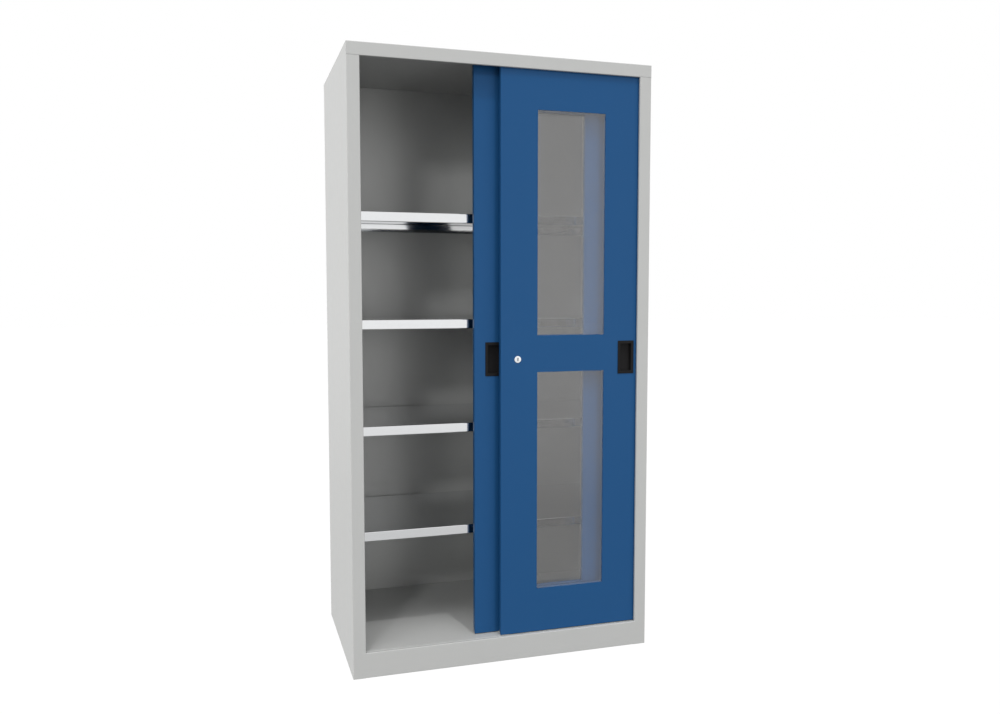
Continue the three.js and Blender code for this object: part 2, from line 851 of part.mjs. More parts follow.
for (const [sideName, side] of [["left", -1], ["right", 1]]) {
  for (const [depthName, depth] of Object.entries(uprightDepths)) {
    place(`upright_${sideName}_${depthName}`, upright(side, depth), greyPaint);
  }
  place(`buffer_${sideName}_front`, buffer(side, frontDoorFace), blackRubber);
  place(`buffer_${sideName}_rear`, buffer(side, rearDoorFace), blackRubber);
}

for (let row = 0; row < shelfCount; row += 1) {
  place(`shelf_${row + 1}`, shelf(row), galvanised);
  place(`bracket_left_${row + 1}`, bracket(-1, row), galvanised);
  place(`bracket_right_${row + 1}`, bracket(1, row), galvanised);
}

for (const door of [frontDoor, rearDoor]) {
  place(`${door.name}_shell`, doorShell(door), bluePaint);
  place(`${door.name}_guide_channel`, guideChannel(door), zincSteel);
  for (const opening of windows(door)) {
    place(`${door.name}_pane_${opening.level}`, pane(door, opening), clearGlass);
    place(`${door.name}_glazing_frame_${opening.level}`, glazingFrame(door, opening), bluePaint);
  }
  place(`${door.name}_pull`, pull(door), blackPlastic);
  hangerPlaces(door).forEach((x, i) => {
    const end = ["left", "right"][i];
    place(`${door.name}_hanger_${end}`, hanger(door, x), zincSteel);
    place(`${door.name}_roller_${end}`, roller(door, x), whiteNylon);
  });
}

place("lock_housing", lockHousing(), chromePlate);
place("lock_nut", lockNut(), zincSteel);
place("lock_plug", lockPlug(), chromePlate);
place("lock_cam", lockCam(), zincSteel);
place("lock_cam_screw", lockCamScrew(), zincSteel);
place("lock_keeper", lockKeeper(), zincSteel);

export default cabinet;
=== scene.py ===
"""Looks of a steel cabinet with two glazed sliding doors, laid out as a Blender add-on.

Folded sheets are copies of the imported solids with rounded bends. The hangers, the floor
guide, the buffers and the lock's steel pieces are copies with softened edges. The pulls, the
lock's housing and plug, the rollers and the rivets on the back are modelled here. The panes,
the back panel, the track and the doors' guide channels keep their solids and get a material.
Everything is in metres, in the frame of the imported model: +X right, +Y back, +Z up, with the
front face at y = -0.3.
"""

import math

import bmesh
import bpy
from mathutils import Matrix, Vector


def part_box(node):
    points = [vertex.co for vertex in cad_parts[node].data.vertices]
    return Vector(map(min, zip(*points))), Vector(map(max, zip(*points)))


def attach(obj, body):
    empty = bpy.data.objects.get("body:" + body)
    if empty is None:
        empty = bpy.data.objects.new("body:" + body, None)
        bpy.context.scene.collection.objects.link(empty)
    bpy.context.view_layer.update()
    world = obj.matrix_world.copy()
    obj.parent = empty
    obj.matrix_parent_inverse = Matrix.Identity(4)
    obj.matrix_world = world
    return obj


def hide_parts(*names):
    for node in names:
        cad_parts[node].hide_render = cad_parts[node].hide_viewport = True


bl_info = {
    "name": "Sliding door cabinet",
    "version": (1, 0, 0),
    "blender": (4, 5, 0),
    "location": "View3D > Sidebar > Cabinet",
    "description": "Builds the finished look of a steel cabinet with sliding doors",
    "category": "Add Mesh",
}

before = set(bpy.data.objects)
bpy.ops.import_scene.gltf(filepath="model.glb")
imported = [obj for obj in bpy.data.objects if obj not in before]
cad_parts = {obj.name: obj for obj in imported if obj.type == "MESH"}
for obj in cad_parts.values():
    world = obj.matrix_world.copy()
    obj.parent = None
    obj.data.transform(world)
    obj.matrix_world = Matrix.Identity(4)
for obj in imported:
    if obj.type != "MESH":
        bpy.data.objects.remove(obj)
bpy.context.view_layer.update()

MM = 0.001
SHEET = 1 * MM
SEAT = 0.3 * MM
SHELF_COUNT = 4
ROWS = ("front", "rear")
SIDES = {"left": -1, "right": 1}


# Sizes and colours that a user would change


class PaintSettings(bpy.types.PropertyGroup):
    grey: bpy.props.FloatVectorProperty(
        name="Grey paint",
        description="Powder coat of the carcass",
        subtype="COLOR",
        default=(0.565, 0.57, 0.56),
        min=0.0,
        max=1.0,
    )
    blue: bpy.props.FloatVectorProperty(
        name="Blue paint",
        description="Powder coat of the doors",
        subtype="COLOR",
        default=(0.0125, 0.086, 0.236),
        min=0.0,
        max=1.0,
    )
    roughness: bpy.props.FloatProperty(
        name="Roughness",
        description="Roughness of both powder coats",
        default=0.42,
        min=0.0,
        max=1.0,
        subtype="FACTOR",
    )
    grain: bpy.props.FloatProperty(
        name="Orange peel",
        description="Height of the powder coat's fine waves",
        default=0.00004,
        min=0.0,
        unit="LENGTH",
    )


class SheetSettings(bpy.types.PropertyGroup):
    outer_bend: bpy.props.FloatProperty(
        name="Outer bend",
        description="Radius on the outside of a folded sheet",
        default=0.0022,
        min=0.0,
        unit="LENGTH",
    )
    inner_bend: bpy.props.FloatProperty(
        name="Inner bend",
        description="Radius on the inside of a folded sheet",
        default=0.0012,
        min=0.0,
        unit="LENGTH",
    )
    bend_steps: bpy.props.IntProperty(
        name="Bend steps",
        description="Facets in each bend",
        default=4,
        min=1,
        max=8,
    )
    galvanised: bpy.props.FloatVectorProperty(
        name="Galvanised sheet",
        description="Colour of the shelves and brackets",
        subtype="COLOR",
        default=(0.80, 0.81, 0.82),
        min=0.0,
        max=1.0,
    )
    lean: bpy.props.FloatProperty(
        name="Rear flange lean",
        description="How far the top of a shelf's rear flange leans forward of its lower edge",
        default=0.0026,
        min=0.0,
        unit="LENGTH",
    )


class PullSettings(bpy.types.PropertyGroup):
    plastic: bpy.props.FloatVectorProperty(
        name="Plastic",
        description="Colour of the moulded pulls",
        subtype="COLOR",
        default=(0.013, 0.0125, 0.013),
        min=0.0,
        max=1.0,
    )
    rim: bpy.props.FloatProperty(
        name="Rim width",
        description="Width of the rim round the finger cup",
        default=0.0095,
        min=0.001,
        unit="LENGTH",
    )
    wall: bpy.props.FloatProperty(
        name="Wall",
        description="Thickness of the cup's walls",
        default=0.0015,
        min=0.0005,
        unit="LENGTH",
    )
    edge: bpy.props.FloatProperty(
        name="Edge radius",
        description="Rounding of the rim's edges",
        default=0.0012,
        min=0.0,
        unit="LENGTH",
    )


class RivetSettings(bpy.types.PropertyGroup):
    radius: bpy.props.FloatProperty(
        name="Head radius",
        description="Radius of a rivet's head",
        default=0.0042,
        min=0.001,
        unit="LENGTH",
    )
    rise: bpy.props.FloatProperty(
        name="Head height",
        description="How far a rivet's head stands out from the sheet",
        default=0.0011,
        min=0.0002,
        unit="LENGTH",
    )
    inset: bpy.props.FloatProperty(
        name="Inset",
        description="Distance from a rivet's centre to the edge of the back",
        default=0.01,
        min=0.004,
        unit="LENGTH",
    )


class StudioSettings(bpy.types.PropertyGroup):
    eye: bpy.props.FloatVectorProperty(
        name="Camera place",
        description="Where the camera stands",
        subtype="TRANSLATION",
        default=(-0.8631, -3.0146, 1.2052),
    )
    pitch: bpy.props.FloatProperty(
        name="Camera pitch",
        description="Tilt of the camera from straight down",
        subtype="ANGLE",
        default=math.radians(85.854),
    )
    heading: bpy.props.FloatProperty(
        name="Camera heading",
        description="Turn of the camera about the upright axis",
        subtype="ANGLE",
        default=math.radians(-17.217),
    )
    lens: bpy.props.FloatProperty(
        name="Lens",
        description="Focal length in millimetres on a 36 mm sensor",
        default=32.11,
        min=1.0,
    )
    ambient: bpy.props.FloatProperty(
        name="Ambient light",
        description="Strength of the even light from all round",
        default=0.49,
        min=0.0,
    )
    floor: bpy.props.FloatVectorProperty(
        name="Floor",
        description="Colour of the studio floor",
        subtype="COLOR",
        default=(0.3, 0.3, 0.3),
        min=0.0,
        max=1.0,
    )


# Materials

# Most of a noise pattern's values lie between these two
NOISE_LOW = 0.3
NOISE_HIGH = 0.7


class Shader:
    """A material with a Principled shader and short ways to add nodes to it."""

    def __init__(self, name):
        self.material = bpy.data.materials.new(name)
        self.material.use_nodes = True
        self.nodes = self.material.node_tree.nodes
        self.links = self.material.node_tree.links
        self.surface = next(n for n in self.nodes if n.type == "BSDF_PRINCIPLED")

    def coordinates(self, scale=(1, 1, 1)):
        place = self.nodes.new("ShaderNodeTexCoord")
        mapping = self.nodes.new("ShaderNodeMapping")
        mapping.inputs["Scale"].default_value = scale
        self.links.new(place.outputs["Object"], mapping.inputs["Vector"])
        return mapping.outputs["Vector"]

    def noise(self, vector, scale, detail=2.0):
        made = self.nodes.new("ShaderNodeTexNoise")
        made.inputs["Scale"].default_value = scale
        made.inputs["Detail"].default_value = detail
        self.links.new(vector, made.inputs["Vector"])
        return made.outputs["Fac"]

    def cells(self, vector, scale):
        """Flat cells, each with a random value of its own."""
        made = self.nodes.new("ShaderNodeTexVoronoi")
        made.inputs["Scale"].default_value = scale
        self.links.new(vector, made.inputs["Vector"])
        split = self.nodes.new("ShaderNodeSeparateColor")
        self.links.new(made.outputs["Color"], split.inputs["Color"])
        return split.outputs["Red"]

    def spread(self, factor, low, high):
        made = self.nodes.new("ShaderNodeMapRange")
        made.inputs["From Min"].default_value = NOISE_LOW
        made.inputs["From Max"].default_value = NOISE_HIGH
        made.inputs["To Min"].default_value = low
        made.inputs["To Max"].default_value = high
        self.links.new(factor, made.inputs["Value"])
        return made.outputs["Result"]

    def colours(self, factor, first, second):
        made = self.nodes.new("ShaderNodeMix")
        made.data_type = "RGBA"
        made.inputs["A"].default_value = (*first, 1)
        made.inputs["B"].default_value = (*second, 1)
        self.links.new(factor, made.inputs["Factor"])
        return made.outputs["Result"]

    def bump(self, height, distance, strength):
        made = self.nodes.new("ShaderNodeBump")
        made.inputs["Distance"].default_value = distance
        made.inputs["Strength"].default_value = strength
        self.links.new(height, made.inputs["Height"])
        self.links.new(made.outputs["Normal"], self.surface.inputs["Normal"])

    def set(self, **values):
        for key, value in values.items():
            self.surface.inputs[key.replace("_", " ")].default_value = value

    def link(self, output, name):
        self.links.new(output, self.surface.inputs[name])


def shaded(colour, factor):
    return tuple(channel * factor for channel in colour)


def powder_coat(name, colour, roughness, grain, specular, metallic=0.0):
    """Baked powder coat: fine orange peel and a faint drift of colour and gloss."""
    drift_scale, gloss_scale, grain_scale = 7.0, 40.0, 700.0
    tone_change, gloss_change = 0.015, 0.03
    grain_strength = 0.4
    shader = Shader(name)
    place = shader.coordinates()
    drift = shader.noise(place, drift_scale)
    dark, pale = shaded(colour, 1 - tone_change), shaded(colour, 1 + tone_change)
    shader.link(shader.colours(drift, dark, pale), "Base Color")
    smooth, rough = roughness - gloss_change, roughness + gloss_change
    shader.link(shader.spread(shader.noise(place, gloss_scale), smooth, rough), "Roughness")
    shader.bump(shader.noise(place, grain_scale, detail=1.0), grain, grain_strength)
    shader.set(IOR=1.5, Specular_IOR_Level=specular, Metallic=metallic)
    return shader.material


def rolled_zinc(name, colour, roughness, streak_scale, unevenness):
    """Zinc on rolled sheet: flat spangles and fine streaks along the sheet."""
    spangle_scale, across_scale = 110.0, 400
    roughness_change = 0.2
    streak_height, streak_strength = 0.01 * MM, 5 * unevenness
    shader = Shader(name)
    spangles = shader.cells(shader.coordinates(), spangle_scale)
    dull, bright = shaded(colour, 1 - unevenness), shaded(colour, 1 + unevenness / 2)
    shader.link(shader.colours(spangles, dull, bright), "Base Color")
    along = shader.coordinates((streak_scale, across_scale, across_scale))
    streaks = shader.noise(along, 1.0, detail=3.0)
    smooth, rough = roughness * (1 - roughness_change), roughness * (1 + roughness_change)
    shader.link(shader.spread(streaks, smooth, rough), "Roughness")
    shader.bump(streaks, streak_height, streak_strength)
    shader.set(Metallic=1.0)
    return shader.material


def moulded_plastic(name, colour, roughness, grain):
    """Moulded plastic with a fine etched grain."""
    speckle_scale, grain_scale = 260.0, 1400.0
    tone_change, gloss_change = 0.15, 0.04
    grain_strength = 0.5
    shader = Shader(name)
    place = shader.coordinates()
    speckle = shader.noise(place, speckle_scale)
    dark, pale = shaded(colour, 1 - tone_change), shaded(colour, 1 + tone_change)
    shader.link(shader.colours(speckle, dark, pale), "Base Color")
    smooth, rough = roughness - gloss_change, roughness + gloss_change
    shader.link(shader.spread(speckle, smooth, rough), "Roughness")
    shader.bump(shader.noise(place, grain_scale, detail=1.0), grain, grain_strength)
    shader.set(IOR=1.5, Specular_IOR_Level=0.12)
    return shader.material


def bright_chrome(name):
    """Bright plating with faint polishing marks."""
    mark_scale = 900.0
    polished, marked = 0.08, 0.14
    dull, bright = (0.92, 0.94, 0.96), (0.95, 0.97, 0.99)
    shader = Shader(name)
    marks = shader.noise(shader.coordinates(), mark_scale, detail=3.0)
    shader.link(shader.spread(marks, polished, marked), "Roughness")
    shader.link(shader.colours(marks, dull, bright), "Base Color")
    shader.set(Metallic=1.0)
    return shader.material


def window_glass(name):
    """Bright window sheet with a faint drift of tint. The lamps' light goes nearly all through."""
    drift_scale = 5.0
    cool, warm = (0.985, 0.983, 0.98), (0.995, 0.993, 0.99)
    lamp_light = (0.945, 0.95, 0.945)
    shader = Shader(name)
    drift = shader.noise(shader.coordinates(), drift_scale)
    shader.link(shader.colours(drift, cool, warm), "Base Color")
    shader.set(Roughness=0.0, IOR=1.78, Transmission_Weight=1.0)
    path = shader.nodes.new("ShaderNodeLightPath")
    through = shader.nodes.new("ShaderNodeBsdfTransparent")
    through.inputs["Color"].default_value = (*lamp_light, 1)
    mixed = shader.nodes.new("ShaderNodeMixShader")
    output = next(n for n in shader.nodes if n.type == "OUTPUT_MATERIAL")
    shader.links.new(path.outputs["Is Shadow Ray"], mixed.inputs["Fac"])
    shader.links.new(shader.surface.outputs["BSDF"], mixed.inputs[1])
    shader.links.new(through.outputs["BSDF"], mixed.inputs[2])
    shader.links.new(mixed.outputs["Shader"], output.inputs["Surface"])
    return shader.material


def dressed():
    """The cabinet's materials by name, made once."""
    if "Grey powder coat" not in bpy.data.materials:
        paint = bpy.context.scene.cabinet_paint
        grey, blue = tuple(paint.grey), tuple(paint.blue)
        gloss, grain = paint.roughness, paint.grain
        zinc = tuple(bpy.context.scene.cabinet_sheet.galvanised)
        plated = shaded(zinc, 0.8)
        plastic = tuple(bpy.context.scene.cabinet_pulls.plastic)
        powder_coat("Grey powder coat", grey, gloss, grain, specular=0.5)
        powder_coat("Silky grey coat", grey, gloss - 0.04, grain, specular=0.5, metallic=0.2)
        powder_coat("Blue powder coat", blue, gloss, grain, specular=0.25)
        rolled_zinc("Galvanised sheet", zinc, 0.09, streak_scale=4.0, unevenness=0.01)
        rolled_zinc("Zinc plated steel", plated, 0.34, streak_scale=30.0, unevenness=0.04)
        moulded_plastic("Black plastic", plastic, 0.45, grain=0.05 * MM)
        moulded_plastic("White nylon", (0.72, 0.71, 0.66), 0.5, grain=0.02 * MM)
        # Real rubber on the buffers, and also the painted shade inside the lock's keyway
        moulded_plastic("Black rubber", (0.014, 0.014, 0.014), 0.75, grain=0.1 * MM)
        bright_chrome("Bright chrome")
        window_glass("Window glass")
    return bpy.data.materials


def paint_over(piece, material_name):
    material = dressed()[material_name]
    piece.data.materials.clear()
    piece.data.materials.append(material)


def paint_node(node, material_name):
    """Gives a CAD node's object a material of its own, without touching its mesh."""
    material = dressed()[material_name]
    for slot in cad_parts[node].material_slots:
        slot.link = "OBJECT"
        slot.material = material


# Ways of modelling that the pieces share

# Points closer together than this are one, and facets flatter than this are one face
MERGE_WITHIN = 0.01 * MM
FLAT_WITHIN = math.radians(0.5)

# A fold's faces stand square, within this many radians, and both are wider than a cut edge
SQUARE_WITHIN = 0.1
FOLD_FACE_WIDTH = 1.6 * SHEET

# Edges sharper than this are softened, in degrees, and steel pieces by this radius
SHARP_ANGLE = 40
STEEL_EDGE = 0.3 * MM

# Edges flatter than this are shaded smooth, in degrees
TURNED_SMOOTH = 30
PULL_SMOOTH = 35
BUFFER_SMOOTH = 40


def deselect():
    if bpy.context.object and bpy.context.object.mode != "OBJECT":
        bpy.ops.object.mode_set(mode="OBJECT")
    bpy.ops.object.select_all(action="DESELECT")


def make_active(piece):
    deselect()
    piece.select_set(True)
    bpy.context.view_layer.objects.active = piece


def copy_of(node, name):
    """A copy of a CAD node's mesh as a new piece, with its loose triangles merged."""
    piece = bpy.data.objects.new(name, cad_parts[node].data.copy())
    bpy.context.scene.collection.objects.link(piece)
    make_active(piece)
    bpy.ops.object.mode_set(mode="EDIT")
    bpy.ops.mesh.select_all(action="SELECT")
    bpy.ops.mesh.remove_doubles(threshold=MERGE_WITHIN)
    bpy.ops.mesh.dissolve_limited(angle_limit=FLAT_WITHIN)
    bpy.ops.object.mode_set(mode="OBJECT")
    return piece


def strip_width(face):
    """Width of a long face, about right for a bent strip too."""
    return 2 * face.calc_area() / sum(edge.calc_length() for edge in face.edges)


def select_bends(piece, convex):
    """Selects the folds of a sheet, and not the cut edges along its thickness."""
    mesh = bmesh.from_edit_mesh(piece.data)
    count = 0
    for edge in mesh.edges:
        chosen = False
        if len(edge.link_faces) == 2:
            turn = abs(edge.calc_face_angle_signed(0))
            square = abs(turn - math.pi / 2) < SQUARE_WITHIN
            wide = min(strip_width(face) for face in edge.link_faces) > FOLD_FACE_WIDTH
            chosen = square and wide and edge.is_convex == convex
        edge.select_set(chosen)
        count += chosen
    bmesh.update_edit_mesh(piece.data)
    return count


def round_bends(piece):
    """Rounds the outside and the inside of every fold."""
    sizes = bpy.context.scene.cabinet_sheet
    make_active(piece)
    bpy.ops.object.mode_set(mode="EDIT")
    bpy.ops.mesh.select_mode(type="EDGE")
    for convex, radius in ((True, sizes.outer_bend), (False, sizes.inner_bend)):
        bpy.ops.mesh.select_all(action="DESELECT")
        if select_bends(piece, convex):
            bpy.ops.mesh.bevel(offset=radius, segments=sizes.bend_steps, affect="EDGES")
    bpy.ops.object.mode_set(mode="OBJECT")


def soften(piece, radius, steps=2):
    """Rounds every sharp edge with a bevel that is applied."""
    make_active(piece)
    edge = piece.modifiers.new("Softened edges", "BEVEL")
    edge.width = radius
    edge.segments = steps
    edge.limit_method = "ANGLE"
    edge.angle_limit = math.radians(SHARP_ANGLE)
    bpy.ops.object.modifier_apply(modifier=edge.name)


def shade_smooth(piece, angle):
    """Smooth shading across edges flatter than the angle, in degrees."""
    make_active(piece)
    bpy.ops.object.shade_smooth_by_angle(angle=math.radians(angle))


def shift(piece, test, by):
    """Moves the points whose place passes the test."""
    make_active(piece)
    bpy.ops.object.mode_set(mode="EDIT")
    bpy.ops.mesh.select_mode(type="VERT")
    bpy.ops.mesh.select_all(action="DESELECT")
    mesh = bmesh.from_edit_mesh(piece.data)
    for point in mesh.verts:
        point.select_set(test(point.co))
    mesh.select_flush_mode()
    bmesh.update_edit_mesh(piece.data)
    bpy.ops.transform.translate(value=by)
    bpy.ops.object.mode_set(mode="OBJECT")


def select_faces(piece, test):
    mesh = bmesh.from_edit_mesh(piece.data)
    for face in mesh.faces:
        face.select_set(test(face))
    mesh.select_flush_mode()
    bmesh.update_edit_mesh(piece.data)


def settle(piece, name, body, material_name, *nodes):
    """Ends a piece: place in the mesh, name, material, body and the nodes it stands for."""
    make_active(piece)
    bpy.ops.object.transform_apply(location=True, rotation=True, scale=True)
    piece.name = name
    paint_over(piece, material_name)
    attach(piece, body)
    if nodes:
        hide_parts(*nodes)
    deselect()


def fold(piece, node, body, material_name):
    """Rounds a sheet's bends and sets it in place of its node."""
    round_bends(piece)
    settle(piece, node + "_folded", body, material_name, node)


def folded_copy(node, body, material_name):
    """A CAD node's sheet with rounded bends."""
    fold(copy_of(node, node + "_folded"), node, body, material_name)


def softened_copy(node, ending, body, material_name, radius):
    """A CAD node's piece with softened edges."""
    piece = copy_of(node, node + ending)
    soften(piece, radius)
    settle(piece, node + ending, body, material_name, node)


def slab(low, high):
    """A block between two corners, added as a primitive at its size and place."""
    deselect()
    low = Vector(low)
    high = Vector(high)
    bpy.ops.mesh.primitive_cube_add(size=1, location=(low + high) / 2)
    piece = bpy.context.object
    piece.scale = high - low
    bpy.ops.object.transform_apply(location=True, rotation=True, scale=True)
    return piece


def turned(profile, x, z, steps):
    """A round piece: a profile of (radius, y) points, spun about an axis along y."""
    deselect()
    bpy.ops.mesh.primitive_plane_add(size=1 * MM, location=(0, 0, 0))
    piece = bpy.context.object
    bpy.ops.object.mode_set(mode="EDIT")
    bpy.ops.mesh.select_mode(type="VERT")
    bpy.ops.mesh.select_all(action="SELECT")
    bpy.ops.mesh.merge(type="CENTER")
    points = [Vector((x + radius, y, z)) for radius, y in profile]
    bpy.ops.transform.translate(value=points[0])
    for near, far in zip(points, points[1:]):
        bpy.ops.mesh.extrude_region_move(TRANSFORM_OT_translate={"value": far - near})
    bpy.ops.mesh.select_all(action="SELECT")
    bpy.ops.mesh.spin(steps=steps, angle=math.tau, center=(x, 0, z), axis=(0, 1, 0))
    bpy.ops.mesh.select_all(action="SELECT")
    bpy.ops.mesh.remove_doubles(threshold=MERGE_WITHIN / 2)
    bpy.ops.mesh.normals_make_consistent(inside=False)
    bpy.ops.object.mode_set(mode="OBJECT")
    shade_smooth(piece, TURNED_SMOOTH)
    return piece


# Operators, one for each piece or group of like pieces

# The plinth's ends and the floor's front are found by points this near to them
PLINTH_END_ZONE = SHEET
FLOOR_FRONT_ZONE = 1.5 * SHEET

# How far the floor draws back from the rounded bend of the plinth
FLOOR_SETBACK = 2.5 * MM


class CABINET_OT_carcass(bpy.types.Operator):
    """Folded sheets of the carcass, with rounded bends"""

    bl_idname = "cabinet.carcass"
    bl_label = "Carcass"

    def execute(self, context):
        body, coat = "cabinet", "Grey powder coat"
        for node in ("side_panel_left", "side_panel_right", "top_panel", "plinth_rear"):
            folded_copy(node, body, coat)
        plinth = copy_of("plinth_front", "plinth_front_folded")
        self.stretch(plinth, context.scene.cabinet_sheet.outer_bend)
        fold(plinth, "plinth_front", body, coat)
        floor = copy_of("floor_panel", "floor_panel_folded")
        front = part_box("floor_panel")[0][1]
        shift(floor, lambda place: place.y < front + FLOOR_FRONT_ZONE, (0, FLOOR_SETBACK, 0))
        fold(floor, "floor_panel", body, coat)
        paint_node("back_panel", "Silky grey coat")
        for side in SIDES:
            for row in ROWS:
                folded_copy(f"upright_{side}_{row}", body, coat)
        return {"FINISHED"}

    def stretch(self, plinth, bend):
        """Draws the front plinth's ends out until they fill the side panels' rounded bends."""
        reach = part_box("plinth_front")[1][0]
        for side in SIDES.values():
            shift(
                plinth,
                lambda place: place.x * side > reach - PLINTH_END_ZONE,
                (side * (SEAT + bend), 0, 0),
            )


RIVETS_UP = 7
RIVETS_ACROSS = 5
RIVET_STEPS = 20

# A rivet's dome, as shares of its radius and of its height
DOME_SHARES = ((0, 1), (0.4, 0.92), (0.75, 0.6), (1, 0.15))
DOME_BURIED = 0.2 * MM


class CABINET_OT_rivets(bpy.types.Operator):
    """Low domed rivets that hold the back panel's border"""

    bl_idname = "cabinet.rivets"
    bl_label = "Back rivets"

    def execute(self, context):
        sizes = context.scene.cabinet_rivets
        rivet = self.rivet(sizes)
        heads = []
        for place in self.places(sizes.inset):
            head = bpy.data.objects.new("Rivet", rivet.data.copy())
            context.scene.collection.objects.link(head)
            head.location = place
            heads.append(head)
        bpy.data.objects.remove(rivet)
        deselect()
        for head in heads:
            head.select_set(True)
        context.view_layer.objects.active = heads[0]
        bpy.ops.object.join()
        settle(heads[0], "back_rivets", "cabinet", "Grey powder coat")
        return {"FINISHED"}

    def places(self, inset):
        """Places on the side flanges, on the top flange and on the panel's lower edge."""
        low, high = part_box("side_panel_left")[0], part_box("side_panel_right")[1]
        panel_low, panel_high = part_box("back_panel")
        flange = high[1]
        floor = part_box("plinth_rear")[1][2]
        heights = self.spaced(floor + 2 * inset, high[2] - 4 * inset, RIVETS_UP)
        places = [(x, flange, z) for x in (low[0] + inset, high[0] - inset) for z in heights]
        across = self.spaced(low[0] + 5 * inset, high[0] - 5 * inset, RIVETS_ACROSS)
        places += [(x, flange, high[2] - inset) for x in across]
        places += [(x, panel_high[1], panel_low[2] + inset) for x in across]
        return places

    def spaced(self, first, last, count):
        return [first + (last - first) * step / (count - 1) for step in range(count)]

    def rivet(self, sizes):
        """One rivet head: a flat rim under a low dome, its centre at the origin."""
        rim = sizes.radius
        profile = [(across * rim, up * sizes.rise) for across, up in DOME_SHARES]
        profile += [(rim, -DOME_BURIED), (0, -DOME_BURIED)]
        return turned(profile, 0, 0, RIVET_STEPS)


# A shelf's rear flange takes up this depth at the back, and leans in bands along a power curve
LEAN_ZONE = 3.6 * MM
LEAN_BANDS = 10
LEAN_POWER = 2.5

# Heights that agree to this many digits, in metres, are one level
HEIGHT_DIGITS = 5


class CABINET_OT_shelves(bpy.types.Operator):
    """Galvanised shelves with rounded bends, and the brackets under them"""

    bl_idname = "cabinet.shelves"
    bl_label = "Shelves"

    def execute(self, context):
        body, sheet = "cabinet", "Galvanised sheet"
        for number in range(1, SHELF_COUNT + 1):
            node = f"shelf_{number}"
            shelf = copy_of(node, node + "_folded")
            round_bends(shelf)
            self.lean_flange(shelf, node, context.scene.cabinet_sheet.lean)
            settle(shelf, node + "_folded", body, sheet, node)
            for side in SIDES:
                folded_copy(f"bracket_{side}_{number}", body, sheet)
        return {"FINISHED"}

    def lean_flange(self, shelf, node, lean):
        """Leans the rear flange forward in a shallow curve, steepest at its top."""
        low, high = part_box(node)
        rise = high[2] - low[2]
        begins = high[1] - LEAN_ZONE
        make_active(shelf)
        bpy.ops.object.mode_set(mode="EDIT")
        bpy.ops.mesh.select_mode(type="FACE")
        for band in range(1, LEAN_BANDS):
            select_faces(shelf, lambda face: face.calc_center_median().y > begins)
            level = low[2] + band / LEAN_BANDS * rise
            bpy.ops.mesh.bisect(plane_co=(0, 0, level), plane_no=(0, 0, 1))
        bpy.ops.object.mode_set(mode="OBJECT")
        points = [vertex.co for vertex in shelf.data.vertices]
        heights = {round(place.z, HEIGHT_DIGITS) for place in points if place.y > begins}
        for height in sorted(heights):

            def on_level(place):
                return place.y > begins and abs(place.z - height) < MERGE_WITHIN

            share = max(0.0, height - low[2]) / rise
            shift(shelf, on_level, (0, -lean * share**LEAN_POWER, 0))


class CABINET_OT_doors(bpy.types.Operator):
    """Folded door shells, their panes and the frames that clamp them"""

    bl_idname = "cabinet.doors"
    bl_label = "Doors"

    def execute(self, context):
        coat = "Blue powder coat"
        for row in ROWS:
            door = row + "_door"
            folded_copy(door + "_shell", door, coat)
            paint_node(door + "_guide_channel", "Zinc plated steel")
            for level in ("lower", "upper"):
                paint_node(f"{door}_pane_{level}", "Window glass")
                folded_copy(f"{door}_glazing_frame_{level}", door, coat)
        return {"FINISHED"}


# A face looks along an axis when its normal's part on that axis is past this
FACING = 0.9


class CABINET_OT_pulls(bpy.types.Operator):
    """Flush pulls: a rounded rim round a finger cup"""

    bl_idname = "cabinet.pulls"
    bl_label = "Pulls"

    def execute(self, context):
        for row in ROWS:
            self.pull(row + "_door", context.scene.cabinet_pulls)
        return {"FINISHED"}

    def pull(self, door, sizes):
        """A rim on the door's face, its cup drawn out behind and hollowed from the front."""
        node = door + "_pull"
        low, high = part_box(node)
        rim_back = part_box(door + "_shell")[0][1] - SEAT
        piece = slab(low, (high[0], rim_back, high[2]))
        bpy.ops.object.mode_set(mode="EDIT")
        bpy.ops.mesh.select_mode(type="FACE")
        select_faces(piece, lambda face: face.normal.y > FACING)
        bpy.ops.mesh.inset(thickness=sizes.rim - sizes.wall)
        back = (0, high[1] - rim_back, 0)
        bpy.ops.mesh.extrude_region_move(TRANSFORM_OT_translate={"value": back})
        select_faces(piece, lambda face: face.normal.y < -FACING)
        bpy.ops.mesh.inset(thickness=sizes.rim)
        inwards = (0, high[1] - sizes.wall - low[1], 0)
        bpy.ops.mesh.extrude_region_move(TRANSFORM_OT_translate={"value": inwards})
        bpy.ops.object.mode_set(mode="OBJECT")
        soften(piece, sizes.edge, steps=3)
        shade_smooth(piece, PULL_SMOOTH)
        settle(piece, node + "_moulded", door, "Black plastic", node)


# Sizes of the lock's turned pieces, and of the keyway cut into its plug
LOCK_STEPS = 64
LOCK_BORE = 6.3 * MM
LOCK_BARREL = 9 * MM
ROSETTE_CHAMFER = 0.5 * MM
ROSETTE_BORDER = 1.6 * MM
ROSETTE_SLOPE = 1.5 * MM
PLUG_CHAMFER = 0.4 * MM
PLUG_SHANK = 3.5 * MM
KEYWAY_HALF_WIDTH = 1.8 * MM
KEYWAY_HALF_HEIGHT = 4.8 * MM
KEYWAY_DEPTH = 8 * MM
KEYWAY_OVERRUN = 1 * MM
# The margin widens the keyway's box when its inside faces are picked for the painted shade
KEYWAY_MARGIN = 0.1 * MM


